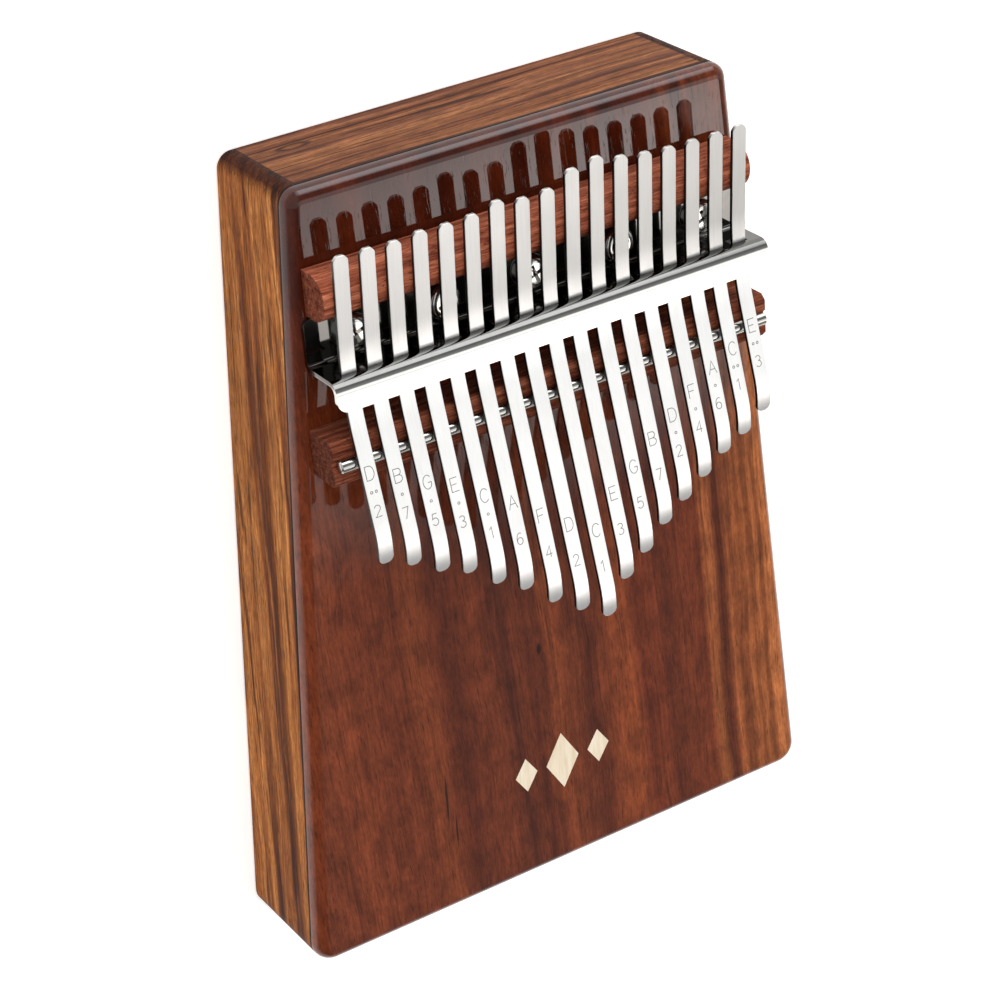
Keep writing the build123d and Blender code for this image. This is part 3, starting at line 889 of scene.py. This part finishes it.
def finish_pieces():
    """Gives every piece that is shown as modelled its finish."""
    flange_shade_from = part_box("bracket_screws")[0].y - FLANGE_SHADE_MARGIN
    sides = plank_material("satin_walnut_sides", "Y", GOLDEN_WOOD, 1.3)
    finishes = {
        "soundboard": soundboard_material(),
        "back_board": plank_material("satin_walnut_back", "Y", GOLDEN_WOOD, 7.7),
        "left_side": sides,
        "right_side": sides,
        "top_end": head_material(),
        "bottom_end": plank_material("satin_walnut_foot", "X", ROSY_WOOD, 5.4),
        "screw_block": plank_material("inner_block_wood", "X", INNER_WOOD, 9.1, gloss=0.0),
        "bridge_brace": plank_material("inner_brace_wood", "X", INNER_WOOD, 4.6, gloss=0.0),
        "nut": sawn_material("sawn_red_nut", 3.3, 1.04),
        "bridge_block": sawn_material("sawn_red_bridge", 6.1, 0.86),
        "saddle_rod": plated_material("polished_rod_steel", 0.10, 0.02, level=190),
        "pressure_bracket": plated_material("bright_nickel_bracket", 0.045, 0.05, flange_shade_from, 0.82),
        "bracket_screws": plated_material("bright_nickel_screws", 0.09, 0.05, flange_shade_from, 0.2),
        "inlay_lozenges": inlay_material(),
    }
    for node, finish in finishes.items():
        mesh = frame["nodes"][node].data
        mesh.materials.clear()
        mesh.materials.append(finish)
    for node in ROUNDED:
        soften(node)


# ---------------------------------------------------------------------------
# The table, the lights and the camera
# ---------------------------------------------------------------------------

FLOOR_DROP = 0.3 * MM
FLOOR_HALF = 4.0
FLOOR_GLOW = 0.42


def rectangle(name, half_width, half_height, height=0.0):
    """A flat rectangle round the origin."""
    w, h = half_width, half_height
    mesh = bpy.data.meshes.new(name)
    corners = [(-w, -h, height), (w, -h, height), (w, h, height), (-w, h, height)]
    mesh.from_pydata(corners, [], [(0, 1, 2, 3)])
    return mesh


def floor():
    """A pale table that glows a little, so that it stays near white all over."""
    made, s = material("pale_table")
    x, y, z = s.point()
    paper = s.noise(s.stretched(s.vector(x, y, z), (60.0, 60.0, 60.0)), 3.0, 0.5)
    s.surface(
        Base_Color=s.ramp(paper, [(0.3, (0.90, 0.90, 0.90, 1)), (0.7, (0.93, 0.93, 0.93, 1))]),
        Roughness=0.9,
        Specular_IOR_Level=0.1,
        Emission_Color=(1.0, 1.0, 1.0, 1.0),
        Emission_Strength=FLOOR_GLOW,
    )
    mesh = rectangle("table", FLOOR_HALF, FLOOR_HALF, -FLOOR_DROP)
    mesh.materials.append(made)
    table = bpy.data.objects.new("table", mesh)
    bpy.context.scene.collection.objects.link(table)


def softbox_material(name, half_width, half_height, radiance, colour, fades):
    """A glow that fades to clear over the given distances from the left, right, bottom and
    top edges, and that shows from the front only."""
    made, s = material(name)
    x, y, _ = s.point()
    inside = 1.0
    left, right, bottom, top = fades
    sides = ((x, half_width, left, right), (y, half_height, bottom, top))
    for place, half, low_fade, high_fade in sides:
        rise = s.spread(place, -half, low_fade - half, 0.0, 1.0)
        fall = s.spread(place, half - high_fade, half, 1.0, 0.0)
        inside = s.math("MULTIPLY", inside, s.math("MULTIPLY", rise, fall))
    front = s.math("SUBTRACT", 1.0, s.add("ShaderNodeNewGeometry").outputs["Backfacing"])
    glow = s.add("ShaderNodeEmission")
    s.set(glow.inputs["Color"], colour)
    s.set(glow.inputs["Strength"], radiance)
    clear = s.add("ShaderNodeBsdfTransparent")
    mixed = s.add("ShaderNodeMixShader")
    s.set(mixed.inputs[0], s.math("MULTIPLY", inside, front))
    s.set(mixed.inputs[1], clear.outputs[0])
    s.set(mixed.inputs[2], glow.outputs[0])
    output = s.add("ShaderNodeOutputMaterial")
    s.set(output.inputs["Surface"], mixed.outputs[0])
    return made


def aimed(centre, direction, front):
    """The matrix that puts a thing at a place with its front axis along a direction."""
    turn = Vector(direction).to_track_quat(front, "Y").to_matrix()
    return Matrix.Translation(Vector(centre)) @ turn.to_4x4()


def softbox(name, centre, direction, size, radiance, colour, fades):
    """A glowing panel that reflections show and the camera doesn't."""
    half_width, half_height = size[0] / 2, size[1] / 2
    mesh = rectangle(name, half_width, half_height)
    mesh.materials.append(softbox_material(name, half_width, half_height, radiance, colour, fades))
    panel = bpy.data.objects.new(name, mesh)
    panel.matrix_world = aimed(centre, direction, "Z")
    panel.visible_camera = False
    panel.visible_shadow = False
    bpy.context.scene.collection.objects.link(panel)


WARM = (1.0, 0.94, 0.91, 1.0)
COOL = (0.96, 0.98, 1.0, 1.0)
# The sky's levels: even round the horizon, and higher up a middle strip, which the tongues and
# the lacquer mirror towards the camera, and what lies beside it
HORIZON_LEVEL = 0.85
FOOT_LEVEL = 0.30
OVERHEAD_LEVEL = 1.38
HEAD_SHARE = 0.18
BESIDE_FOOT_LEVEL = 0.12
BESIDE_LEVEL = 0.68
LAMP_PLACE = (-0.35, 0.35, 1.30)
LAMP_SIZE = 1.5
LAMP_ENERGY = 9.8
LAMP_COLOUR = (1.0, 0.97, 0.93)


def sky():
    """Soft light from all round. x, y and z are the parts of a direction of length 1."""
    world = bpy.data.worlds.new("studio")
    bpy.context.scene.world = world
    s = Shader(world)
    coords = s.add("ShaderNodeTexCoord")
    split = s.add("ShaderNodeSeparateXYZ")
    s.set(split.inputs[0], coords.outputs["Generated"])
    x, y, z = split.outputs
    horizon = s.spread(z, 0.10, 0.30, 1.0, 0.0)
    middle = s.spread(y, -0.38, -0.20, FOOT_LEVEL, OVERHEAD_LEVEL)
    middle = s.math("MULTIPLY", middle, s.spread(y, 0.04, 0.20, 1.0, HEAD_SHARE))
    beside = s.spread(y, -0.36, -0.22, BESIDE_FOOT_LEVEL, BESIDE_LEVEL)
    left, right = s.spread(x, 0.10, 0.30, 0.0, 1.0), s.spread(x, 0.60, 0.76, 1.0, 0.0)
    share = s.math("MULTIPLY", left, right)
    high = s.math("MULTIPLY_ADD", share, s.math("SUBTRACT", middle, beside), beside)
    low = (HORIZON_LEVEL, HORIZON_LEVEL, HORIZON_LEVEL, 1.0)
    background = s.add("ShaderNodeBackground")
    s.set(background.inputs["Color"], s.blend("MIX", horizon, s.vector(high, high, high), low))
    s.set(background.inputs["Strength"], 1.0)
    output = s.add("ShaderNodeOutputWorld")
    s.set(output.inputs["Surface"], background.outputs[0])


def fill_lamp():
    """A soft lamp above the head's left, aimed at the box, that no reflection shows."""
    lamp = bpy.data.lights.new("fill_lamp", "AREA")
    lamp.shape = "DISK"
    lamp.size = LAMP_SIZE
    lamp.energy = LAMP_ENERGY
    lamp.color = LAMP_COLOUR
    fill = bpy.data.objects.new("fill_lamp", lamp)
    fill.visible_glossy = False
    bpy.context.scene.collection.objects.link(fill)
    fill.matrix_world = aimed(LAMP_PLACE, -Vector(LAMP_PLACE), "-Z")


def lights():
    sky()
    softbox(
        "overhead_softbox", centre=(0.55, -0.44, 1.0), direction=(0, 0, -1), size=(0.90, 0.36),
        radiance=4.5, colour=WARM, fades=(0.30, 0.60, 0.22, 0.11),
    )
    softbox(
        "head_softbox", centre=(0.42, 0.90, 0.42), direction=(0, -1, 0), size=(0.84, 0.82),
        radiance=4.4, colour=COOL, fades=(0.25, 0.30, 0.02, 0.42),
    )
    fill_lamp()


# The viewpoint: a long lens, above and to the left of the head
CAMERA_PLACE = (-0.2898, 0.3037, 0.5016)
CAMERA_RIGHT = (0.8384, -0.0714, 0.5403)
CAMERA_UP = (0.3105, 0.8773, -0.3659)
CAMERA_FORWARD = (0.4479, -0.4746, -0.7577)
CAMERA_LENS = 102.5
CAMERA_SENSOR = 36.0


def camera():
    data = bpy.data.cameras.new("camera")
    data.lens = CAMERA_LENS
    data.sensor_width = CAMERA_SENSOR
    data.clip_start = 0.01
    data.clip_end = 50.0
    made = bpy.data.objects.new("camera", data)
    bpy.context.scene.collection.objects.link(made)
    turn = Matrix((CAMERA_RIGHT, CAMERA_UP, [-c for c in CAMERA_FORWARD])).transposed()
    made.matrix_world = Matrix.Translation(CAMERA_PLACE) @ turn.to_4x4()
    bpy.context.scene.camera = made


def build():
    finish_pieces()
    build_tines(tine_material(), mark_material())
    floor()
    lights()
    camera()
    bpy.context.scene.view_settings.view_transform = "Standard"
    bpy.context.view_layer.update()


build()
